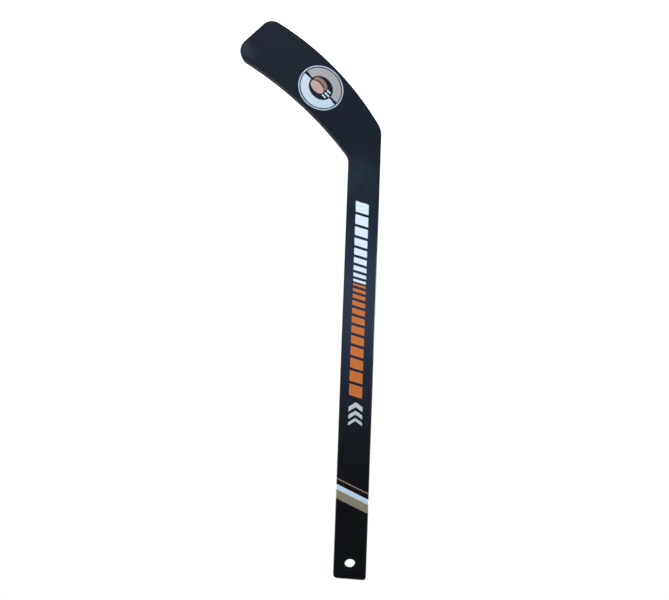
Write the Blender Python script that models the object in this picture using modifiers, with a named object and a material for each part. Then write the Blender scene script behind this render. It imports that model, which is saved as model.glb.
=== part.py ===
"""Mini hockey stick: one flat plastic moulding, shaft and blade in one, with a hang hole through the
butt and thin film decoration on its front face.

Metres, +Z up, as the stick hangs by its hole with the blade down. The origin is the centre of the hang
hole at mid thickness. The decorated face looks along -Y, the toe of the blade is at +X, and the shaft
runs along Z. Lengths below are written in millimetres and scaled by MM.
"""

import math

import bmesh
import bpy
from mathutils import Matrix

MM = 0.001

# ---------------------------------------------------------------- real sizes, mm
THICK = 10.0  # plate thickness
HALF_W = 15.7  # half the shaft's width
EDGE_R = 1.5  # rounding along every outer edge, front and back
EDGE_SEGS = 5

BUTT_Z = 14.1  # butt end above the hole, on the centre line
BUTT_TILT = -0.0402  # rise of the butt end per mm of X: it was cut slightly off square
BUTT_R_TOE_SIDE = 4.2
BUTT_R_HEEL_SIDE = 3.4

SOLE_C, SOLE_R = (237.2, -262.8), 296.2  # long arc along the blade's lower edge
TOP_C, TOP_R = (311.3, -155.4), 376.8  # long arc along the blade's upper edge
HEEL_R = 22.0  # corner between the shaft and the lower edge
THROAT_R = 12.0  # corner between the shaft and the upper edge
TOE_ANGLE = 44.7  # degrees between the toe's straight end and the shaft's line
TOE_D = 440.3  # distance of the toe's straight end from the origin
TOE_LOW_R = 12.6
TOE_HIGH_R = 12.8

HOLE_R = 5.15
HOLE_RIM_R = 0.25  # rounding of the hole's rim, front and back

FILM_T = 0.10  # thickness of the film decoration
FILM_GAP = 0.02  # bond line between film and plastic

STRIPE_SLOPE = -0.448  # rise per mm of X
# stripe name, z of its lower and upper edge on the centre line, colour
STRIPES = (
    ("stripe_orange", -74.00, -72.95, (0.62, 0.24, 0.11)),
    ("stripe_white", -68.20, -63.20, (0.53, 0.66, 0.84)),
    ("stripe_tan", -63.14, -54.85, (0.22, 0.18, 0.13)),
)

BAR_SLOPE = -0.27
BAR_X = (-5.75, 6.75)
BAR_CORNER_R = 0.55
BAR_GAP = 2.6
ORANGE = (0.60, 0.145, 0.030)
WHITE = (0.56, 0.70, 0.88)
GREY = (0.30, 0.31, 0.33)

BADGE_C = (44.9, -455.6)
BADGE_AXIS = -45.0  # direction of the badge's long axis, degrees from +X
SALMON = (0.52, 0.24, 0.15)
SALMON_DARK = (0.36, 0.15, 0.09)
TAN = (0.38, 0.34, 0.28)
RIM = (0.42, 0.45, 0.50)


# ---------------------------------------------------------------- scene
for leftover in list(bpy.data.objects):
    bpy.data.objects.remove(leftover, do_unlink=True)

stick = bpy.data.collections.new("mini_hockey_stick")
cutters = bpy.data.collections.new("cutters")
bpy.context.scene.collection.children.link(stick)
bpy.context.scene.collection.children.link(cutters)
cutters.hide_render = True


def material(name, colour, roughness):
    made = bpy.data.materials.new(name)
    made.use_nodes = True
    shader = made.node_tree.nodes["Principled BSDF"]
    shader.inputs["Base Color"].default_value = (*colour, 1.0)
    shader.inputs["Roughness"].default_value = roughness
    shader.inputs["Metallic"].default_value = 0.0
    made.diffuse_color = (*colour, 1.0)
    return made


# ---------------------------------------------------------------- plane geometry, (x, z) in mm
def arc(centre, radius, start, end, sagitta=0.02):
    """Points from angle start to angle end, close enough that each chord stays within sagitta."""
    step = 2 * math.acos(1 - sagitta / radius)
    count = max(2, math.ceil(abs(end - start) / step))
    return [
        (
            centre[0] + radius * math.cos(start + (end - start) * i / count),
            centre[1] + radius * math.sin(start + (end - start) * i / count),
        )
        for i in range(count + 1)
    ]


def angle(centre, point):
    return math.atan2(point[1] - centre[1], point[0] - centre[0])


def toward(start, end, length):
    d = math.dist(start, end)
    return (
        start[0] + (end[0] - start[0]) * length / d,
        start[1] + (end[1] - start[1]) * length / d,
    )


def centre_by_line(normal, offset, c, r, near):
    """The point at distance offset along normal from the origin that is r from c, closer to near."""
    along = c[0] * normal[0] + c[1] * normal[1]
    foot = (
        c[0] + (offset - along) * normal[0],
        c[1] + (offset - along) * normal[1],
    )
    half = math.sqrt(r * r - (offset - along) ** 2)
    found = [
        (foot[0] - s * half * normal[1], foot[1] + s * half * normal[0])
        for s in (1, -1)
    ]
    return min(found, key=lambda p: math.dist(p, near))


def stick_outline():
    """The stick's outline, anticlockwise seen from the front with +X to the right."""
    toe_n = (math.sin(math.radians(TOE_ANGLE)), -math.cos(math.radians(TOE_ANGLE)))
    tilt = math.atan(BUTT_TILT)
    butt_n = (-math.sin(tilt), math.cos(tilt))
    butt_d = BUTT_Z * butt_n[1]

    heel_c = centre_by_line(
        (-1, 0), HALF_W - HEEL_R, SOLE_C, SOLE_R - HEEL_R, (-HALF_W, -420)
    )
    low_c = centre_by_line(
        toe_n, TOE_D - TOE_LOW_R, SOLE_C, SOLE_R - TOE_LOW_R, (95, -507)
    )
    high_c = centre_by_line(
        toe_n, TOE_D - TOE_HIGH_R, TOP_C, TOP_R + TOE_HIGH_R, (113, -489)
    )
    throat_c = centre_by_line(
        (1, 0), HALF_W + THROAT_R, TOP_C, TOP_R - THROAT_R, (HALF_W, -383)
    )

    def butt_corner(side, radius):
        x = side * (HALF_W - radius)
        return (x, (butt_d - radius - x * butt_n[0]) / butt_n[1])

    toe_side = butt_corner(1, BUTT_R_TOE_SIDE)
    heel_side = butt_corner(-1, BUTT_R_HEEL_SIDE)

    toe_angle = math.atan2(toe_n[1], toe_n[0])
    sole_to_heel = angle(SOLE_C, heel_c)
    sole_to_low = angle(SOLE_C, low_c)
    if sole_to_heel > 0:
        sole_to_heel -= 2 * math.pi
    top_to_high = angle(TOP_C, high_c)
    top_to_throat = angle(TOP_C, throat_c)
    turn = 2 * math.pi
    points = []
    # shaft's heel side down into the heel, along the sole, round the toe
    points += arc(heel_c, HEEL_R, -math.pi, sole_to_heel)
    points += arc(SOLE_C, SOLE_R, sole_to_heel, sole_to_low, 0.04)[1:]
    points += arc(low_c, TOE_LOW_R, sole_to_low, toe_angle)[1:]
    # the toe's high corner turns until it meets the upper edge, whose circle lies outside the plastic
    points += arc(high_c, TOE_HIGH_R, toe_angle, angle(high_c, TOP_C))
    points += arc(
        TOP_C,
        TOP_R,
        top_to_high % turn,
        top_to_throat % turn,
        0.04,
    )[1:]
    points += arc(throat_c, THROAT_R, top_to_throat % turn, math.pi)[1:]
    # up the shaft's toe side and over the butt
    points += arc(toe_side, BUTT_R_TOE_SIDE, 0.0, math.pi / 2 + tilt)
    points += arc(heel_side, BUTT_R_HEEL_SIDE, math.pi / 2 + tilt, math.pi)
    return points


def rounded(corners, radius, segs=3):
    """A convex polygon given anticlockwise, with every corner rounded."""
    points = []
    for before, corner, after in zip(
        corners[-1:] + corners[:-1], corners, corners[1:] + corners[:1]
    ):
        a, b = toward(corner, before, 1), toward(corner, after, 1)
        half = math.acos(
            (a[0] - corner[0]) * (b[0] - corner[0])
            + (a[1] - corner[1]) * (b[1] - corner[1])
        ) / 2
        mid = ((a[0] + b[0]) / 2, (a[1] + b[1]) / 2)
        centre = toward(corner, mid, radius / math.sin(half))
        start = toward(corner, before, radius / math.tan(half))
        end = toward(corner, after, radius / math.tan(half))
        a0, a1 = angle(centre, start), angle(centre, end)
        while a1 < a0:
            a1 += 2 * math.pi
        points += [
            (
                centre[0] + radius * math.cos(a0 + (a1 - a0) * i / segs),
                centre[1] + radius * math.sin(a0 + (a1 - a0) * i / segs),
            )
            for i in range(segs + 1)
        ]
    return points


def ellipse(centre, a, b, start=0.0, end=2 * math.pi, count=48):
    """Points of an ellipse in the badge's own axes; the last is left out on a whole turn."""
    whole = abs(end - start) > 2 * math.pi - 1e-9
    return [
        (
            centre[0] + a * math.cos(start + (end - start) * i / count),
            centre[1] + b * math.sin(start + (end - start) * i / count),
        )
        for i in range(count + (not whole))
    ]


# ---------------------------------------------------------------- makers
def plate(name, outlines, y, half, shader, home):
    """A flat plate from closed outlines in (x, z): the first is its edge, any others are holes."""
    curve = bpy.data.curves.new(name, "CURVE")
    curve.dimensions = "2D"
    curve.fill_mode = "BOTH"
    curve.extrude = half * MM
    for outline in outlines:
        spline = curve.splines.new("POLY")
        spline.points.add(len(outline) - 1)
        for point, (x, z) in zip(spline.points, outline):
            point.co = (x * MM, z * MM, 0.0, 1.0)
        spline.use_cyclic_u = True
    drawn = bpy.data.objects.new(name + "_drawn", curve)
    home.objects.link(drawn)
    drawn.matrix_world = Matrix.Translation((0, y * MM, 0)) @ Matrix.Rotation(
        math.pi / 2, 4, "X"
    )
    bpy.context.view_layer.update()
    graph = bpy.context.evaluated_depsgraph_get()
    mesh = bpy.data.meshes.new_from_object(drawn.evaluated_get(graph))
    mesh.transform(drawn.matrix_world)
    bpy.data.objects.remove(drawn, do_unlink=True)
    shape = bmesh.new()
    shape.from_mesh(mesh)
    bmesh.ops.remove_doubles(shape, verts=shape.verts, dist=1e-7)
    bmesh.ops.dissolve_limit(
        shape, angle_limit=0.001, verts=shape.verts, edges=shape.edges
    )
    bmesh.ops.recalc_face_normals(shape, faces=shape.faces)
    shape.to_mesh(mesh)
    shape.free()
    mesh.name = name
    made = bpy.data.objects.new(name, mesh)
    home.objects.link(made)
    if shader:
        mesh.materials.clear()
        mesh.materials.append(shader)
    return made


def bake(obj):
    """Applies the object's modifiers."""
    bpy.context.view_layer.update()
    graph = bpy.context.evaluated_depsgraph_get()
    mesh = bpy.data.meshes.new_from_object(obj.evaluated_get(graph))
    obj.modifiers.clear()
    old, obj.data = obj.data, mesh
    bpy.data.meshes.remove(old)
    mesh.name = obj.name


def boolean(obj, tool, operation):
    cut = obj.modifiers.new(operation.lower(), "BOOLEAN")
    cut.operation = operation
    cut.solver = "EXACT"
    cut.object = tool
    bake(obj)


def cutter(obj):
    obj.display_type = "WIRE"
    obj.hide_render = True
    return obj


# ---------------------------------------------------------------- the moulding
body = plate(
    "stick_body",
    [stick_outline()],
    0.0,
    THICK / 2,
    material("moulded_plastic", (0.020, 0.027, 0.036), 0.42),
    stick,
)
rounding = body.modifiers.new("edge rounding", "BEVEL")
rounding.width = EDGE_R * MM
rounding.segments = EDGE_SEGS
rounding.limit_method = "ANGLE"
rounding.angle_limit = math.radians(60)
rounding.miter_outer = "MITER_SHARP"
bake(body)

# the hole's cutter is a spool: straight in the middle, flaring out to the two rounded rims
profile = [(0.0, THICK / 2 + 2)]
flare = HOLE_R + HOLE_RIM_R
profile.append((flare, THICK / 2 + 2))
for i in range(5):
    turn = math.pi / 2 * i / 4
    profile.append(
        (flare - HOLE_RIM_R * math.sin(turn), THICK / 2 - HOLE_RIM_R * (1 - math.cos(turn)))
    )
profile += [(r, -y) for r, y in reversed(profile)]
spool_mesh = bpy.data.meshes.new("hole_spool")
spool_mesh.from_pydata(
    [(r * MM, y * MM, 0.0) for r, y in profile],
    [(i, i + 1) for i in range(len(profile) - 1)],
    [],
)
spool = cutter(bpy.data.objects.new("hole_spool", spool_mesh))
cutters.objects.link(spool)
spin = spool.modifiers.new("lathe", "SCREW")
spin.axis = "Y"
spin.steps = spin.render_steps = 56
spin.use_merge_vertices = True
spin.merge_threshold = 1e-6
spin.use_normal_calculate = True
bake(spool)
faces = bmesh.new()
faces.from_mesh(spool.data)
bmesh.ops.remove_doubles(faces, verts=faces.verts, dist=1e-7)
bmesh.ops.recalc_face_normals(faces, faces=faces.faces)
faces.to_mesh(spool.data)
faces.free()
boolean(body, spool, "DIFFERENCE")
body.data.shade_smooth()
body.data.set_sharp_from_angle(angle=math.radians(35))


# ---------------------------------------------------------------- wrapping stripes
def sleeve_section():
    """A thin C in (x, -y): it lies on the front face and follows both edge roundings to the side walls."""
    inner, outer = [], []
    cx, cy = HALF_W - EDGE_R, THICK / 2 - EDGE_R
    for side in (-1, 1):
        steps = range(EDGE_SEGS + 1)
        for i in steps if side < 0 else reversed(steps):
            turn = math.pi / 2 * i / EDGE_SEGS
            for skin, away in ((inner, FILM_GAP), (outer, FILM_GAP + FILM_T)):
                r = EDGE_R + away / math.cos(math.pi / 4 / EDGE_SEGS)
                skin.append(
                    (side * (cx + r * math.cos(turn)), cy + r * math.sin(turn))
                )
    return outer + inner[::-1]


sleeve = bpy.data.curves.new("sleeve", "CURVE")
sleeve.dimensions = "2D"
sleeve.fill_mode = "BOTH"
sleeve.extrude = 40 * MM
run = sleeve.splines.new("POLY")
section = sleeve_section()
run.points.add(len(section) - 1)
for point, (x, out) in zip(run.points, section):
    point.co = (x * MM, -out * MM, 0.0, 1.0)
run.use_cyclic_u = True

for name, low, high, colour in STRIPES:
    drawn = bpy.data.objects.new(name + "_drawn", sleeve)
    stick.objects.link(drawn)
    drawn.location.z = (low + high) / 2 * MM
    bpy.context.view_layer.update()
    graph = bpy.context.evaluated_depsgraph_get()
    mesh = bpy.data.meshes.new_from_object(drawn.evaluated_get(graph))
    mesh.transform(drawn.matrix_world)
    bpy.data.objects.remove(drawn, do_unlink=True)
    shape = bmesh.new()
    shape.from_mesh(mesh)
    bmesh.ops.remove_doubles(shape, verts=shape.verts, dist=1e-7)
    bmesh.ops.recalc_face_normals(shape, faces=shape.faces)
    shape.to_mesh(mesh)
    shape.free()
    stripe = bpy.data.objects.new(name, mesh)
    stick.objects.link(stripe)
    far = HALF_W + 6
    band = cutter(
        plate(
            name + "_band",
            [
                [
                    (-far, low - STRIPE_SLOPE * far),
                    (far, low + STRIPE_SLOPE * far),
                    (far, high + STRIPE_SLOPE * far),
                    (-far, high - STRIPE_SLOPE * far),
                ]
            ],
            0.0,
            THICK,
            None,
            cutters,
        )
    )
    boolean(stripe, band, "INTERSECT")
    stripe.data.materials.clear()
    stripe.data.materials.append(material(name, colour, 0.38))
bpy.data.curves.remove(sleeve)


# ---------------------------------------------------------------- flat film pieces
FILM_Y = -(THICK / 2 + FILM_GAP + FILM_T / 2)


def film(name, outlines, colour, roughness=0.4):
    return plate(
        name, outlines, FILM_Y, FILM_T / 2, material(name, colour, roughness), stick
    )


def bar(name, low, high, colour):
    """A slanted bar across the shaft between two heights on the centre line."""
    x0, x1 = BAR_X
    corners = [
        (x0, low + BAR_SLOPE * x0),
        (x1, low + BAR_SLOPE * x1),
        (x1, high + BAR_SLOPE * x1),
        (x0, high + BAR_SLOPE * x0),
    ]
    film(name, [rounded(corners, BAR_CORNER_R)], colour)


def bars(stem, first_z, count, first_width, last_width, colour):
    """A row of bars down the shaft whose widths change evenly from the first to the last."""
    z = first_z
    for i in range(count):
        width = first_width + (last_width - first_width) * i / (count - 1)
        bar(f"{stem}_{i + 1:02d}", z - width, z, colour)
        z -= width + BAR_GAP


bars("bar_orange", -158.0, 12, 11.0, 2.1, ORANGE)
bars("bar_white", -267.1, 9, 2.4, 10.2, WHITE)

# three chevrons pointing down the shaft
for i, (top, thick) in enumerate(((-130.7, 3.0), (-136.9, 3.8), (-143.9, 4.6))):
    half, drop = 6.6, 4.4
    corners = [
        (-half, top),
        (-half, top - thick),
        (0.0, top - thick - drop),
        (half, top - thick),
        (half, top),
        (0.0, top - drop),
    ]
    film(f"chevron_{i + 1}", [corners], GREY)


# ---------------------------------------------------------------- badge on the blade
def placed(points):
    """Points in the badge's own axes, long axis toward the toe, moved onto the blade."""
    turn = math.radians(BADGE_AXIS)
    c, s = math.cos(turn), math.sin(turn)
    return [
        (BADGE_C[0] + u * c - v * s, BADGE_C[1] + u * s + v * c) for u, v in points
    ]


O = (0.0, 0.0)
film("badge_rim", [placed(ellipse(O, 23.4, 20.6)), placed(ellipse(O, 22.2, 19.4))], RIM)


def half_field(name, start, end, colour):
    """Half of the badge's field: an elliptical band round the puck's clear space."""
    outer = ellipse(O, 21.2, 18.4, start, end, 30)
    inner = ellipse(O, 13.0, 10.6, start, end, 24)
    film(name, [placed(outer + inner[::-1])], colour)


open_at = math.radians(4.5)
half_field("badge_field_tan", math.pi + open_at, 2 * math.pi - open_at, TAN)
half_field("badge_field_white", open_at, math.pi - open_at, WHITE)

# a puck seen slightly from above, and the bars it trails
film("badge_puck_top", [placed(ellipse((3.2, 2.0), 8.0, 4.4, count=36))], SALMON)
side_top = ellipse((3.2, 0.9), 8.0, 4.4, math.pi, 2 * math.pi, 18)
side_low = ellipse((3.2, -2.9), 8.0, 4.4, math.pi, 2 * math.pi, 18)
film("badge_puck_side", [placed(side_low + side_top[::-1])], SALMON_DARK)
for i, (v, u0, u1) in enumerate(((3.4, -10.2, -5.6), (0.2, -11.9, -5.9), (-3.0, -10.6, -5.6))):
    film(
        f"badge_trail_{i + 1}",
        [
            placed(
                rounded([(u0, v - 0.8), (u1, v - 0.8), (u1, v + 0.8), (u0, v + 0.8)], 0.7)
            )
        ],
        WHITE,
    )

for tool in list(cutters.objects):
    tool.hide_render = True
    tool.display_type = "WIRE"
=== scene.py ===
"""Looks of the mini hockey stick: a satin blue-black moulding with transfer film decoration.

Everything is in the part's own frame: metres, +Z up to the butt, +X to the toe, decorated face at -Y.
Shapes are written in millimetres and scaled by MM.
"""

import math

import bmesh
import bpy
from mathutils import Matrix, Vector
from mathutils.geometry import delaunay_2d_cdt


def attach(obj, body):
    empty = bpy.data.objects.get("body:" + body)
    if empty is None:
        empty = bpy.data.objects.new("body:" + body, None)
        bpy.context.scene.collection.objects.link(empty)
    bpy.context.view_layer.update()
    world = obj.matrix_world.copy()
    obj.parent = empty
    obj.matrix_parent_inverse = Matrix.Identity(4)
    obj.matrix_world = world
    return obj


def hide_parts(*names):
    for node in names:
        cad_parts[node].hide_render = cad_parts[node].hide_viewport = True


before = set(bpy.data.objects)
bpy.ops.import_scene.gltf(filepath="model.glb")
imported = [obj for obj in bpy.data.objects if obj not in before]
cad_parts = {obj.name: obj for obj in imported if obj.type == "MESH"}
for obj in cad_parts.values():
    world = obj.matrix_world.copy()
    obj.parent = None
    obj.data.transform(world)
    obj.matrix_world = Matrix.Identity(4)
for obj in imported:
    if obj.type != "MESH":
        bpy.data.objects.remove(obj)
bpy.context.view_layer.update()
MM = 0.001

# ------------------------------------------------------------------ camera, at the photograph's angle
scene = bpy.context.scene
IMAGE_W = 669  # the photograph's width, in pixels
FOCAL_PX = 767.0
lens = bpy.data.cameras.new("camera")
lens.sensor_fit = "HORIZONTAL"
lens.sensor_width = 36.0
lens.lens = FOCAL_PX / IMAGE_W * 36.0
lens.clip_start, lens.clip_end = 0.01, 50.0
camera = bpy.data.objects.new("camera", lens)
scene.collection.objects.link(camera)
scene.camera = camera
# the stick is photographed blade up, turned a little, with its butt slightly nearer the lens
right = Vector((-0.9993, 0.0, -0.0373)).normalized()
ahead = Vector((0.00161, 0.99906, -0.04323))
ahead = (ahead - right * ahead.dot(right)).normalized()
up = right.cross(ahead).normalized()
camera.matrix_world = Matrix.Translation((0.02276, -0.74082, -0.21804)) @ Matrix(
    (
        (right.x, up.x, -ahead.x, 0),
        (right.y, up.y, -ahead.y, 0),
        (right.z, up.z, -ahead.z, 0),
        (0, 0, 0, 1),
    )
)
scene.view_settings.view_transform = "Standard"
scene.view_settings.look = "None"
scene.view_settings.exposure = 0.0
scene.view_settings.gamma = 1.0


# ------------------------------------------------------------------ node helpers
class Tree:
    def __init__(self, owner):
        owner.use_nodes = True
        self.tree = owner.node_tree
        self.tree.nodes.clear()

    def add(self, kind, **settings):
        node = self.tree.nodes.new(kind)
        for key, value in settings.items():
            setattr(node, key, value)
        return node

    def link(self, source, target):
        self.tree.links.new(source, target)

    def feed(self, socket, value):
        if isinstance(value, bpy.types.NodeSocket):
            self.link(value, socket)
        elif isinstance(value, (tuple, list)) and len(value) == 3 and len(
            getattr(socket, "default_value", (0, 0, 0))
        ) == 4:
            socket.default_value = (*value, 1.0)
        else:
            socket.default_value = value

    def math(self, operation, a, b=0.0, clamp=False):
        node = self.add("ShaderNodeMath", operation=operation, use_clamp=clamp)
        self.feed(node.inputs[0], a)
        self.feed(node.inputs[1], b)
        return node.outputs[0]

    def mix(self, factor, a, b, blend="MIX"):
        node = self.add("ShaderNodeMix", data_type="RGBA", blend_type=blend)
        self.feed(node.inputs["Factor"], factor)
        self.feed(node.inputs[6], a)
        self.feed(node.inputs[7], b)
        return node.outputs[2]

    def span(self, value, low, high, to_low=0.0, to_high=1.0, kind="SMOOTHSTEP"):
        node = self.add("ShaderNodeMapRange", interpolation_type=kind)
        self.feed(node.inputs["Value"], value)
        node.inputs["From Min"].default_value = low
        node.inputs["From Max"].default_value = high
        node.inputs["To Min"].default_value = to_low
        node.inputs["To Max"].default_value = to_high
        return node.outputs["Result"]

    def stretched(self, where, scale, turn=(0.0, 0.0, 0.0)):
        spread = self.add("ShaderNodeMapping")
        self.link(where, spread.inputs["Vector"])
        spread.inputs["Scale"].default_value = scale
        spread.inputs["Rotation"].default_value = turn
        return spread.outputs["Vector"]

    def noise(self, where, scale, detail=2.0, rough=0.5):
        node = self.add("ShaderNodeTexNoise")
        self.link(where, node.inputs["Vector"])
        node.inputs["Scale"].default_value = scale
        node.inputs["Detail"].default_value = detail
        node.inputs["Roughness"].default_value = rough
        return node.outputs["Fac"]

    def near(self, where, place, radii):
        """1 at a place in metres, fading to 0 at an ellipsoid of these radii round it."""
        away = self.add("ShaderNodeVectorMath", operation="SUBTRACT")
        self.link(where, away.inputs[0])
        away.inputs[1].default_value = place
        scaled = self.add("ShaderNodeVectorMath", operation="DIVIDE")
        self.link(away.outputs[0], scaled.inputs[0])
        scaled.inputs[1].default_value = radii
        far = self.add("ShaderNodeVectorMath", operation="LENGTH")
        self.link(scaled.outputs[0], far.inputs[0])
        return self.span(far.outputs["Value"], 0.0, 1.0, 1.0, 0.0)

    def bump(self, height, distance, strength=1.0, base=None):
        node = self.add("ShaderNodeBump")
        node.inputs["Strength"].default_value = strength
        node.inputs["Distance"].default_value = distance
        self.link(height, node.inputs["Height"])
        if base is not None:
            self.link(base, node.inputs["Normal"])
        return node.outputs["Normal"]


# ------------------------------------------------------------------ studio
FLOOR_Z = -0.67
world = bpy.data.worlds.new("studio")
scene.world = world
sky = Tree(world)
coords = sky.add("ShaderNodeTexCoord")
split = sky.add("ShaderNodeSeparateXYZ")
sky.link(coords.outputs["Generated"], split.inputs[0])
# in front of the decorated face: a dark room with one long, low, bluish window level with the lens
TOP_L = 3.5
ROOM = (
    (-0.20, (0.00, 0.00, 0.00)),
    (-0.16, (0.10, 0.40, 0.70)),
    (-0.12, (1.25, 2.35, 2.80)),
    (-0.08, (1.40, 2.20, 3.10)),
    (-0.04, (0.62, 1.38, 3.40)),
    (0.00, (0.58, 0.88, 2.50)),
    (0.04, (0.40, 0.10, 0.25)),
    (0.07, (0.00, 0.00, 0.00)),
)
ramp = sky.add("ShaderNodeValToRGB")
stops = ramp.color_ramp.elements
while len(stops) > 1:
    stops.remove(stops[-1])
for i, (height, tint) in enumerate(ROOM):
    stop = stops[0] if i == 0 else stops.new(height + 0.5)
    stop.position = height + 0.5
    stop.color = (*(c / TOP_L for c in tint), 1.0)
sky.link(sky.math("ADD", split.outputs["Z"], 0.5), ramp.inputs["Fac"])
front = sky.span(sky.math("MULTIPLY", split.outputs["Y"], -1.0), 0.60, 0.84)
AROUND = (0.09, 0.10, 0.12)
room = sky.mix(front, tuple(c / TOP_L for c in AROUND), ramp.outputs["Color"])
seen = sky.add("ShaderNodeBackground")
seen.inputs["Color"].default_value = (1, 1, 1, 1)
seen.inputs["Strength"].default_value = 1.02
felt = sky.add("ShaderNodeBackground")
sky.link(room, felt.inputs["Color"])
felt.inputs["Strength"].default_value = TOP_L
path = sky.add("ShaderNodeLightPath")
which = sky.add("ShaderNodeMixShader")
sky.link(path.outputs["Is Camera Ray"], which.inputs["Fac"])
sky.link(felt.outputs[0], which.inputs[1])
sky.link(seen.outputs[0], which.inputs[2])
sky_out = sky.add("ShaderNodeOutputWorld")
sky.link(which.outputs[0], sky_out.inputs["Surface"])


def softbox(name, place, aim, size, watts, tint=(1, 1, 1)):
    light = bpy.data.lights.new(name, "AREA")
    light.shape = "RECTANGLE"
    light.size, light.size_y = size
    light.energy = watts
    light.color = tint
    made = bpy.data.objects.new(name, light)
    scene.collection.objects.link(made)
    made.location = place
    made.rotation_euler = (
        (Vector(aim) - Vector(place)).to_track_quat("-Z", "Y").to_euler()
    )
    made.visible_camera = False
    return made


# the key only fills in the inks: its mirror image would burn out the face from the other side
key = softbox("key_right", (0.52, -0.37, -0.54), (0.04, 0, -0.44), (0.34, 0.24), 6.2, (0.96, 0.99, 1.0))
key.visible_glossy = False
# level with the face, so that it only glints along the rounding of the heel side
softbox("glint_left", (-0.60, 0.04, -0.257), (0.0, 0, -0.24), (0.26, 0.18), 4.0, (0.80, 0.92, 1.0))
softbox("fill_left", (-0.95, -0.35, -0.05), (0.0, 0, -0.25), (0.40, 0.80), 2.2, (0.92, 0.96, 1.0))
softbox("top", (0.10, 0.10, 0.95), (0.0, 0, 0.0), (0.60, 0.60), 5.0, (0.98, 0.99, 1.0))
softbox("back_right", (0.95, 0.45, 0.25), (0.02, 0, -0.28), (0.45, 0.60), 4.0, (0.95, 0.98, 1.0))
softbox("back_left", (-0.80, 0.85, 0.30), (0.02, 0, -0.25), (0.40, 0.70), 5.0, (0.95, 0.98, 1.0))

disc = bmesh.new()
bmesh.ops.create_circle(disc, cap_ends=True, segments=96, radius=4.0)
floor_mesh = bpy.data.meshes.new("floor")
disc.to_mesh(floor_mesh)
disc.free()
floor = bpy.data.objects.new("floor", floor_mesh)
scene.collection.objects.link(floor)
floor.location.z = FLOOR_Z
paint = bpy.data.materials.new("floor_paint")
pale = Tree(paint)
ground = pale.add("ShaderNodeTexCoord").outputs["Object"]
reach = pale.add("ShaderNodeVectorMath", operation="LENGTH")
pale.link(ground, reach.inputs[0])
reach = reach.outputs["Value"]
# to the lens the floor is white; right under the stick its glow is turned down into a painted shadow pool, on
# top of the real soft shadow that its lit part catches
lit = pale.add("ShaderNodeBsdfDiffuse")
lit.inputs["Color"].default_value = (0.80, 0.81, 0.83, 1)
glow = pale.add("ShaderNodeEmission")
glow.inputs["Color"].default_value = (1, 1, 1, 1)
pale.link(pale.span(reach, 0.05, 0.28, 0.62, 0.98), glow.inputs["Strength"])
bright = pale.add("ShaderNodeAddShader")
pale.link(lit.outputs[0], bright.inputs[0])
pale.link(glow.outputs[0], bright.inputs[1])
# to the stick it is dim, a little more so at arm's length, and darker still right under the stick, a painted
# shadow; behind the stick it falls away into the dark
dim_glow = pale.add("ShaderNodeEmission")
dim = pale.mix(pale.span(reach, 0.08, 0.30), (0.20, 0.22, 0.26), (0.32, 0.41, 0.84))
dim = pale.mix(pale.span(reach, 0.28, 0.58), dim, (0.17, 0.30, 0.63))
dim = pale.mix(pale.span(reach, 0.60, 1.00), dim, (0.115, 0.22, 0.47))
spot = pale.add("ShaderNodeSeparateXYZ")
pale.link(ground, spot.inputs[0])
dim = pale.mix(pale.span(spot.outputs["Y"], 0.7, 1.5), dim, (0.04, 0.05, 0.07))
pale.link(dim, dim_glow.inputs["Color"])
dim_glow.inputs["Strength"].default_value = 1.0
ray = pale.add("ShaderNodeLightPath")
either = pale.add("ShaderNodeMixShader")
pale.link(ray.outputs["Is Camera Ray"], either.inputs["Fac"])
pale.link(dim_glow.outputs[0], either.inputs[1])
pale.link(bright.outputs[0], either.inputs[2])
floor_out = pale.add("ShaderNodeOutputMaterial")
pale.link(either.outputs[0], floor_out.inputs["Surface"])
floor_mesh.materials.append(paint)


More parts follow.
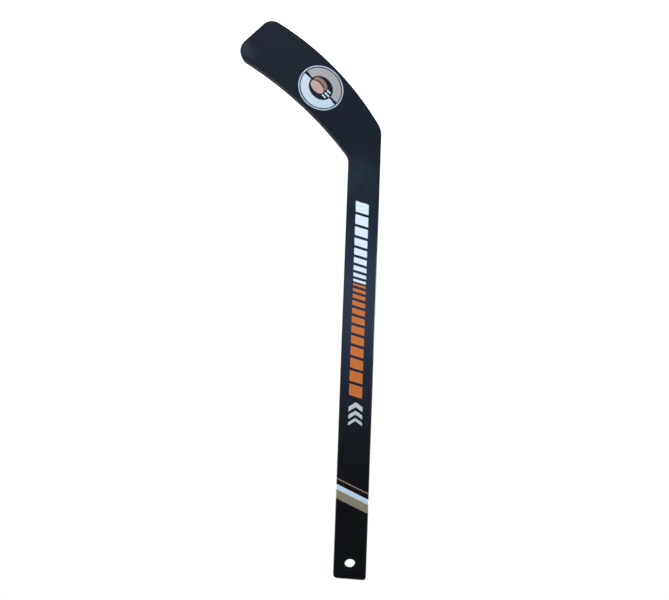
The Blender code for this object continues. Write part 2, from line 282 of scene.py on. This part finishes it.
# ------------------------------------------------------------------ materials
def plastic_material():
    """Satin blue-black moulded plastic: fine grain, soft waviness, faint flow marks, rubbed edges, painted
    highlights.
    """
    made = bpy.data.materials.new("satin_black_plastic")
    t = Tree(made)
    where = t.add("ShaderNodeTexCoord").outputs["Object"]
    shader = t.add("ShaderNodeBsdfPrincipled")
    out = t.add("ShaderNodeOutputMaterial")
    t.link(shader.outputs[0], out.inputs["Surface"])
    # colour: slow clouds in the pigment, and painted highlights: a paler teal patch where the shaft turns into
    # the blade and at the toe's corner, and a faint one at the butt
    cloud = t.noise(where, 38.0, 3.0, 0.55)
    tone = t.mix(t.span(cloud, 0.38, 0.62), (0.0082, 0.0062, 0.0050), (0.0067, 0.0085, 0.0042))
    streak = t.noise(t.stretched(where, (1.0, 1.0, 0.12)), 260.0, 2.0, 0.5)
    patchy = t.span(t.noise(where, 130.0, 3.0, 0.6), 0.30, 0.70, 0.45, 1.0)
    painted_highlight = t.near(where, (0.002, -0.004, -0.369), (0.036, 0.02, 0.037))
    for place, radii, share in (
        ((0.0110, -0.004, -0.374), (0.013, 0.02, 0.028), 0.70),
        ((0.1215, -0.004, -0.4935), (0.010, 0.02, 0.011), 1.6),
        ((0.1150, -0.004, -0.4870), (0.012, 0.02, 0.009), 0.9),
        ((0.0000, -0.004, 0.004), (0.040, 0.02, 0.050), 0.15),
    ):
        painted_highlight = t.math("ADD", painted_highlight, t.math("MULTIPLY", t.near(where, place, radii), share))
    painted_highlight = t.math("MULTIPLY", painted_highlight, patchy)
    # mix the painted highlights' pale teal into the tone, broken up by the patchy noise
    tone = t.mix(t.math("MULTIPLY", painted_highlight, 0.60, clamp=True), tone, (0.0225, 0.0295, 0.0285))
    # rubbed edges: pale, dry patches on the roundings
    rim = t.add("ShaderNodeAttribute", attribute_name="rim").outputs["Fac"]
    rub = t.span(t.noise(where, 420.0, 4.0, 0.65), 0.60, 0.72)
    rub = t.math("MULTIPLY", rub, rim)
    tone = t.mix(t.math("MULTIPLY", rub, 0.55), tone, (0.030, 0.034, 0.038))
    t.link(tone, shader.inputs["Base Color"])
    grain = t.noise(where, 2400.0, 2.0, 0.6)
    blotch = t.noise(where, 55.0, 3.0, 0.6)
    rough = t.math(
        "ADD",
        t.span(blotch, 0.3, 0.7, 0.205, 0.235),
        t.math(
            "ADD",
            t.span(streak, 0.3, 0.7, -0.008, 0.008),
            t.math("MULTIPLY", rub, 0.15),
        ),
    )
    # the hole's wall is dull, as the mould's core pin leaves it
    away = t.add("ShaderNodeVectorMath", operation="LENGTH")
    flat = t.add("ShaderNodeVectorMath", operation="MULTIPLY")
    t.link(where, flat.inputs[0])
    flat.inputs[1].default_value = (1.0, 0.0, 1.0)
    t.link(flat.outputs["Vector"], away.inputs[0])
    bore_wall = t.span(away.outputs["Value"], 0.00520, 0.00535, 1.0, 0.0)
    t.link(t.math("ADD", rough, t.math("MULTIPLY", bore_wall, 0.35)), shader.inputs["Roughness"])
    t.link(t.span(bore_wall, 0.0, 1.0, 0.5, 0.08, "LINEAR"), shader.inputs["Specular IOR Level"])
    shader.inputs["Metallic"].default_value = 0.0
    shader.inputs["IOR"].default_value = 1.5
    wave = t.bump(t.noise(where, 26.0, 1.0, 0.4), 0.00012)
    fine = t.bump(grain, 0.000005, base=wave)
    t.link(fine, shader.inputs["Normal"])
    return made


def ink_material(name, colour, worn=0.5):
    """Transfer film ink: near-solid colour with a little mottle and pinholes."""
    made = bpy.data.materials.new(name)
    t = Tree(made)
    where = t.add("ShaderNodeTexCoord").outputs["Object"]
    shader = t.add("ShaderNodeBsdfPrincipled")
    out = t.add("ShaderNodeOutputMaterial")
    t.link(shader.outputs[0], out.inputs["Surface"])
    mottle = t.span(t.noise(where, 700.0, 3.0, 0.6), 0.3, 0.7)
    darker = tuple(c * 0.93 for c in colour)
    body = t.mix(mottle, darker, colour)
    pin = t.span(t.noise(where, 1500.0, 1.0, 0.5), 0.76, 0.80)
    body = t.mix(t.math("MULTIPLY", pin, 0.75 * worn), body, (0.02, 0.022, 0.025))
    t.link(body, shader.inputs["Base Color"])
    t.link(t.span(mottle, 0.0, 1.0, 0.30, 0.36, "LINEAR"), shader.inputs["Roughness"])
    shader.inputs["Metallic"].default_value = 0.0
    shader.inputs["IOR"].default_value = 1.46
    t.link(t.bump(mottle, 0.000004), shader.inputs["Normal"])
    return made


PLASTIC = plastic_material()
INKS = {
    "pinstripe": ink_material("ink_pinstripe", (0.46, 0.25, 0.13)),
    "stripe_white": ink_material("ink_stripe_white", (0.79, 0.845, 0.80)),
    "tan": ink_material("ink_tan", (0.36, 0.285, 0.165)),
    "orange": ink_material("ink_orange", (0.735, 0.182, 0.014)),
    "white": ink_material("ink_white", (0.845, 0.905, 0.82)),
    "grey": ink_material("ink_grey", (0.70, 0.67, 0.555)),
    "rim": ink_material("ink_rim", (0.44, 0.49, 0.51)),
    "field_white": ink_material("ink_field_white", (0.525, 0.605, 0.595)),
    "field_tan": ink_material("ink_field_tan", (0.375, 0.35, 0.305)),
    "salmon": ink_material("ink_salmon", (0.515, 0.33, 0.26)),
    "salmon_dark": ink_material("ink_salmon_dark", (0.28, 0.15, 0.100)),
}


# ------------------------------------------------------------------ the stick's outline, (x, z) in mm
THICK, HALF_W = 10.0, 15.7
EDGE_R = 1.5
DRAFT = 0.05  # how far the side walls lean in, from the mould's parting line to either rounding
BUTT_Z, BUTT_TILT = 14.1, -0.0402
BUTT_R_TOE_SIDE, BUTT_R_HEEL_SIDE = 4.2, 3.4
SOLE_C, SOLE_R = (237.2, -262.8), 296.2
TOP_C, TOP_R = (311.3, -155.4), 376.8
HEEL_R, THROAT_R = 22.0, 12.0
TOE_ANGLE, TOE_D = 44.7, 440.3
TOE_LOW_R, TOE_HIGH_R = 12.6, 12.8
HOLE_R, HOLE_RIM_R = 5.15, 0.25
TAU = 2 * math.pi


def run_of_arc(centre, radius, start, end, bulge, sagitta=0.004):
    """Points along an arc with the direction out of the plastic; bulge is 1 where it bulges out, else -1."""
    step = 2 * math.acos(1 - sagitta / radius)
    count = max(3, math.ceil(abs(end - start) / step))
    run = []
    for i in range(count + 1):
        a = start + (end - start) * i / count
        c, s = math.cos(a), math.sin(a)
        run.append((centre[0] + radius * c, centre[1] + radius * s, bulge * c, bulge * s))
    return run


def bearing(centre, point):
    return math.atan2(point[1] - centre[1], point[0] - centre[0])


def centre_by_line(normal, offset, c, r, near):
    """The point at distance offset along normal from the origin that is r from c, closer to near."""
    along = c[0] * normal[0] + c[1] * normal[1]
    foot = (c[0] + (offset - along) * normal[0], c[1] + (offset - along) * normal[1])
    half = math.sqrt(r * r - (offset - along) ** 2)
    found = [(foot[0] - s * half * normal[1], foot[1] + s * half * normal[0]) for s in (1, -1)]
    return min(found, key=lambda p: math.dist(p, near))


def stick_outline():
    """(x, z, outward x, outward z), anticlockwise seen from the front with +X to the right."""
    toe_n = (math.sin(math.radians(TOE_ANGLE)), -math.cos(math.radians(TOE_ANGLE)))
    tilt = math.atan(BUTT_TILT)
    butt_n = (-math.sin(tilt), math.cos(tilt))
    butt_d = BUTT_Z * butt_n[1]
    heel_c = centre_by_line((-1, 0), HALF_W - HEEL_R, SOLE_C, SOLE_R - HEEL_R, (-HALF_W, -420))
    low_c = centre_by_line(toe_n, TOE_D - TOE_LOW_R, SOLE_C, SOLE_R - TOE_LOW_R, (95, -507))
    high_c = centre_by_line(toe_n, TOE_D - TOE_HIGH_R, TOP_C, TOP_R + TOE_HIGH_R, (113, -489))
    throat_c = centre_by_line((1, 0), HALF_W + THROAT_R, TOP_C, TOP_R - THROAT_R, (HALF_W, -383))

    def butt_corner(side, radius):
        x = side * (HALF_W - radius)
        return (x, (butt_d - radius - x * butt_n[0]) / butt_n[1])

    toe_side = butt_corner(1, BUTT_R_TOE_SIDE)
    heel_side = butt_corner(-1, BUTT_R_HEEL_SIDE)
    toe_a = math.atan2(toe_n[1], toe_n[0])
    sole_heel, sole_low = bearing(SOLE_C, heel_c), bearing(SOLE_C, low_c)
    if sole_heel > 0:
        sole_heel -= TAU
    top_high, top_throat = bearing(TOP_C, high_c) % TAU, bearing(TOP_C, throat_c) % TAU
    runs = [
        run_of_arc(heel_c, HEEL_R, -math.pi, sole_heel, 1),
        run_of_arc(SOLE_C, SOLE_R, sole_heel, sole_low, 1),
        run_of_arc(low_c, TOE_LOW_R, sole_low, toe_a, 1),
        run_of_arc(high_c, TOE_HIGH_R, toe_a, bearing(high_c, TOP_C), 1),
        run_of_arc(TOP_C, TOP_R, top_high, top_throat, -1),
        run_of_arc(throat_c, THROAT_R, top_throat, math.pi, -1),
        run_of_arc(toe_side, BUTT_R_TOE_SIDE, 0.0, math.pi / 2 + tilt, 1),
        run_of_arc(heel_side, BUTT_R_HEEL_SIDE, math.pi / 2 + tilt, math.pi, 1),
    ]
    whole = []
    for i, run in enumerate(runs):
        whole += run
        x0, z0, nx, nz = run[-1]
        x1, z1 = runs[(i + 1) % len(runs)][0][:2]
        gap = math.dist((x0, z0), (x1, z1))
        if gap < 0.01:  # the next arc starts where this one ends
            whole.pop()
            continue
        shares = [k / round(gap / 7) for k in range(1, round(gap / 7))] if gap > 14 else []
        whole += [(x0 + (x1 - x0) * s, z0 + (z1 - z0) * s, nx, nz) for s in shares]
    return whole


# ------------------------------------------------------------------ mesh makers
def quarter(count):
    return [math.pi / 2 * i / count for i in range(count + 1)]


def circle(centre, radius, count):
    return [
        (centre[0] + radius * math.cos(TAU * i / count), centre[1] + radius * math.sin(TAU * i / count))
        for i in range(count)
    ]


def inside(point, loop):
    hit = False
    for (x0, z0), (x1, z1) in zip(loop, loop[1:] + loop[:1]):
        if (z0 > point[1]) != (z1 > point[1]) and point[0] < x0 + (x1 - x0) * (
            point[1] - z0
        ) / (z1 - z0):
            hit = not hit
    return hit


def fill(shape, loops, y):
    """Triangles on the plane y between an outer loop and its holes, each a list of (x, z)."""
    ties, start = [], 0
    for loop in loops:
        n = len(loop)
        ties += [(start + i, start + (i + 1) % n) for i in range(n)]
        start += n
    flat, _, faces, *_ = delaunay_2d_cdt(
        [Vector(p) for loop in loops for p in loop], ties, [list(range(len(loops[0])))], 1, 1e-5
    )
    verts = [shape.verts.new((p.x * MM, y * MM, p.y * MM)) for p in flat]
    for f in faces:
        mid = sum((flat[i] for i in f), Vector((0, 0))) / len(f)
        if not any(inside(mid, hole) for hole in loops[1:]):
            shape.faces.new([verts[i] for i in f])


def skin(shape, rings):
    """Quads between closed rings of equal length, each a list of (x, y, z) in mm."""
    made = [[shape.verts.new((x * MM, y * MM, z * MM)) for x, y, z in ring] for ring in rings]
    for a, b in zip(made, made[1:]):
        n = len(a)
        for i in range(n):
            shape.faces.new((a[i], a[(i + 1) % n], b[(i + 1) % n], b[i]))
    return made


def finish_mesh(name, shape, ink, sharp):
    bmesh.ops.remove_doubles(shape, verts=shape.verts, dist=2e-7)
    bmesh.ops.recalc_face_normals(shape, faces=shape.faces)
    mesh = bpy.data.meshes.new(name)
    shape.to_mesh(mesh)
    shape.free()
    mesh.shade_smooth()
    mesh.set_sharp_from_angle(angle=math.radians(sharp))
    mesh.materials.append(ink)
    made = bpy.data.objects.new(name, mesh)
    scene.collection.objects.link(made)
    return made


# ------------------------------------------------------------------ the moulding
OUTLINE = stick_outline()
HALF = THICK / 2
WALL_TOP = HALF - EDGE_R
LEAN = DRAFT + 0.01
# how far in from the outline, and y, from the front face to the ridge that the mould's parting leaves
FRONT_HALF = [(EDGE_R + LEAN + 0.10, -HALF), (EDGE_R + LEAN + 0.04, -HALF)]
FRONT_HALF += [
    (EDGE_R + LEAN - EDGE_R * math.sin(a), -(WALL_TOP + EDGE_R * math.cos(a))) for a in quarter(12)
]
FRONT_HALF += [(LEAN - 0.002, -WALL_TOP + 0.06), (0.036, -1.25), (0.034, -1.05), (0.022, -0.16), (0.012, -0.09)]
PROFILE = FRONT_HALF + [(d, -y) for d, y in reversed(FRONT_HALF)]


shape = bmesh.new()
rings = [[(x - nx * d, y, z - nz * d) for x, z, nx, nz in OUTLINE] for d, y in PROFILE]
skin(shape, rings)
HOLE_SEGS = 96
bore = [(HOLE_R + HOLE_RIM_R + 0.10, -HALF), (HOLE_R + HOLE_RIM_R + 0.04, -HALF)]
bore += [
    (HOLE_R + HOLE_RIM_R * (1 - math.sin(a)), -(HALF - HOLE_RIM_R * (1 - math.cos(a)))) for a in quarter(9)
]
bore += [(HOLE_R - 0.004, -HALF + HOLE_RIM_R + 0.06), (HOLE_R - 0.03, -0.14), (HOLE_R - 0.05, -0.07)]
bore += [(r, -y) for r, y in reversed(bore)]
skin(shape, [[(x, y, z) for x, z in circle((0, 0), r, HOLE_SEGS)] for r, y in bore])
outer = [(x, z) for x, _, z in rings[0]]
rim_loop = circle((0, 0), bore[0][0], HOLE_SEGS)
fill(shape, [outer, rim_loop], -HALF)
# the unseen back: round marks of the mould's ejector pins, a few hundredths deep
PINS = [(0, -34), (0, -104), (0, -174), (0, -244), (0, -314), (1, -382), (27, -432), (62, -465), (95, -487)]
PIN_R, PIN_DEEP = 3.5, 0.05
pin_loops = []
for c in PINS:
    pin_loops.append(circle(c, PIN_R + 0.16, 48))
    dish = ((0.16, 0), (0.08, 0), (0.03, 0.4), (-0.01, 1), (-0.09, 1))
    skin(
        shape,
        [
            [(x, HALF - PIN_DEEP * down, z) for x, z in circle(c, PIN_R + out, 48)]
            for out, down in dish
        ],
    )
    fill(shape, [circle(c, PIN_R + dish[-1][0], 48)], HALF - PIN_DEEP)
fill(shape, [outer, rim_loop, *pin_loops], HALF)
moulding = finish_mesh("moulding", shape, PLASTIC, 50)
# where the surface is rounded, for the rubbed patches
worn = moulding.data.attributes.new("rim", "FLOAT", "POINT")
for v in moulding.data.vertices:
    turn = abs(abs(v.co.y) / MM - (HALF - EDGE_R * 0.45)) / 0.9
    flat_on = abs(v.co.y) / MM > HALF - 0.02
    worn.data[v.index].value = 0.0 if flat_on else max(0.0, 1.0 - turn)
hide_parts("stick_body")
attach(moulding, "root")


# ------------------------------------------------------------------ wrapping stripes
FILM_LIFT, FILM_T = 0.004, 0.040
STRIPE_SLOPE = -0.448
STRIPES = (
    ("stripe_orange", -74.00, -72.95, "pinstripe", "film_stripe_orange"),
    ("stripe_white", -68.20, -63.20, "stripe_white", "film_pale_blue"),
    ("stripe_tan", -63.14, -54.85, "tan", "film_tan"),
)


def section():
    """(x, y, out x, out y) across the stick's front from one side wall over the face to the other."""
    cx, cy, run = HALF_W - EDGE_R - LEAN, WALL_TOP, []
    for side in (-1, 1):
        steps = quarter(14)
        for a in steps if side < 0 else reversed(steps):
            c, s = math.cos(a), math.sin(a)
            run.append((side * (cx + EDGE_R * c), -(cy + EDGE_R * s), side * c, -s))
    return run


for name, low, high, ink, slot in STRIPES:
    across = section()
    soft = min(0.10, (high - low) / 6)
    rows = (
        (0.0, 0.0),
        (0.0, 0.45),
        (soft * 0.35, 0.85),
        (soft, 1.0),
        (soft + 0.05, 1.0),
        (high - low - soft - 0.05, 1.0),
        (high - low - soft, 1.0),
        (high - low - soft * 0.35, 0.85),
        (high - low, 0.45),
        (high - low, 0.0),
    )
    shape = bmesh.new()
    hoops = []
    for k, (x, y, ox, oy) in enumerate(across):
        end = 0.3 if k in (0, len(across) - 1) else 1.0
        hoops.append(
            [
                (
                    x + ox * (FILM_LIFT + FILM_T * share * end),
                    y + oy * (FILM_LIFT + FILM_T * share * end),
                    low + STRIPE_SLOPE * x + rise,
                )
                for rise, share in rows
            ]
        )
    made = skin(shape, hoops)
    shape.faces.new(made[0])
    shape.faces.new(list(reversed(made[-1])))
    film = finish_mesh(name + "_film", shape, INKS[ink], 60)
    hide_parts(name)
    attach(film, "root")


# ------------------------------------------------------------------ flat film pieces
def softened(corners, radius, segs=6):
    """A polygon given anticlockwise with every corner rounded off, inward or outward ones alike."""
    points = []
    for before, corner, after in zip(corners[-1:] + corners[:-1], corners, corners[1:] + corners[:1]):
        ends = []
        for other in (before, after):
            d = math.dist(corner, other)
            ends.append(tuple(corner[i] + (other[i] - corner[i]) * radius / d for i in (0, 1)))
        for i in range(segs + 1):
            t = i / segs
            points.append(
                tuple(
                    (1 - t) ** 2 * ends[0][j] + 2 * t * (1 - t) * corner[j] + t * t * ends[1][j]
                    for j in (0, 1)
                )
            )
    return points


def shrunk(loop, amount):
    """A closed loop given anticlockwise, moved inward; a negative amount moves it outward."""
    moved = []
    for (x0, z0), (x1, z1), (x2, z2) in zip(loop[-1:] + loop[:-1], loop, loop[1:] + loop[:1]):
        ax, az, bx, bz = x1 - x0, z1 - z0, x2 - x1, z2 - z1
        la, lb = math.hypot(ax, az), math.hypot(bx, bz)
        n0, n1 = (az / la, -ax / la), (bz / lb, -bx / lb)
        k = 1 + n0[0] * n1[0] + n0[1] * n1[1]
        moved.append((x1 - amount * (n0[0] + n1[0]) / k, z1 - amount * (n0[1] + n1[1]) / k))
    return moved


def film_piece(node, loops, ink):
    """Thin film on the front face: an outer loop, then any holes, all anticlockwise, with softened edges."""
    shape = bmesh.new()
    low_loops, high_loops = [], []
    for i, loop in enumerate(loops):
        inward = 1 if i == 0 else -1
        steps = ((0.0, 0.0), (0.0, 0.45), (0.012, 0.85), (0.035, 1.0))
        stack = [shrunk(loop, inward * a) if a else loop for a, _ in steps]
        skin(
            shape,
            [
                [(x, -(HALF + FILM_LIFT + FILM_T * share), z) for x, z in ring]
                for ring, (_, share) in zip(stack, steps)
            ],
        )
        low_loops.append(stack[0])
        high_loops.append(stack[-1])
    fill(shape, low_loops, -(HALF + FILM_LIFT))
    fill(shape, high_loops, -(HALF + FILM_LIFT + FILM_T))
    film = finish_mesh(node + "_film", shape, INKS[ink], 40)
    for face in film.data.polygons:  # keeps the softened edges' shading off the flat of the film
        face.use_smooth = abs(face.normal.y) < 0.9999
    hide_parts(node)
    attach(film, "root")
    return film


BAR_SLOPE, BAR_X, BAR_GAP = -0.27, (-5.75, 6.75), 2.6


def bars(stem, first_z, count, first_width, last_width, ink):
    z = first_z
    for i in range(count):
        width = first_width + (last_width - first_width) * i / (count - 1)
        (x0, x1), low, high = BAR_X, z - width, z
        corners = [
            (x0, low + BAR_SLOPE * x0),
            (x1, low + BAR_SLOPE * x1),
            (x1, high + BAR_SLOPE * x1),
            (x0, high + BAR_SLOPE * x0),
        ]
        film_piece(f"{stem}_{i + 1:02d}", [softened(corners, 0.55)], ink)
        z -= width + BAR_GAP


bars("bar_orange", -158.0, 12, 11.0, 2.1, "orange")
bars("bar_white", -267.1, 9, 2.4, 10.2, "white")

for i, (top, thick) in enumerate(((-130.7, 3.0), (-136.9, 3.8), (-143.9, 4.6))):
    half, drop = 6.6, 4.4
    corners = [
        (-half, top),
        (-half, top - thick),
        (0.0, top - thick - drop),
        (half, top - thick),
        (half, top),
        (0.0, top - drop),
    ]
    film_piece(f"chevron_{i + 1}", [softened(corners, 0.35)], "grey")

# ------------------------------------------------------------------ badge on the blade
BADGE_C, BADGE_AXIS = (44.9, -455.6), math.radians(-45.0)


def placed(points):
    """Points in the badge's own axes, long axis toward the toe, moved onto the blade."""
    c, s = math.cos(BADGE_AXIS), math.sin(BADGE_AXIS)
    return [(BADGE_C[0] + u * c - v * s, BADGE_C[1] + u * s + v * c) for u, v in points]


def ellipse(a, b, start=0.0, end=TAU, count=120, centre=(0.0, 0.0)):
    whole = abs(end - start) > TAU - 1e-9
    return [
        (
            centre[0] + a * math.cos(start + (end - start) * i / count),
            centre[1] + b * math.sin(start + (end - start) * i / count),
        )
        for i in range(count + (not whole))
    ]


film_piece("badge_rim", [placed(ellipse(23.4, 20.6)), placed(ellipse(22.2, 19.4))], "rim")
open_at = math.radians(4.5)
for node, start, end, ink, slot in (
    ("badge_field_tan", math.pi + open_at, TAU - open_at, "field_tan", "film_field_tan"),
    ("badge_field_white", open_at, math.pi - open_at, "field_white", "film_pale_blue"),
):
    band = ellipse(21.2, 18.4, start, end, 72) + ellipse(13.0, 10.6, start, end, 56)[::-1]
    film_piece(node, [placed(band)], ink)
film_piece("badge_puck_top", [placed(ellipse(8.0, 4.4, count=90, centre=(3.2, 2.0)))], "salmon")
side = ellipse(8.0, 4.4, math.pi, TAU, 45, (3.2, -2.9)) + ellipse(8.0, 4.4, math.pi, TAU, 45, (3.2, 0.9))[::-1]
film_piece("badge_puck_side", [placed(side)], "salmon_dark")
for i, (v, u0, u1) in enumerate(((3.4, -10.2, -5.6), (0.2, -11.9, -5.9), (-3.0, -10.6, -5.6))):
    corners = [(u0, v - 0.8), (u1, v - 0.8), (u1, v + 0.8), (u0, v + 0.8)]
    film_piece(f"badge_trail_{i + 1}", [placed(softened(corners, 0.75))], "field_white")
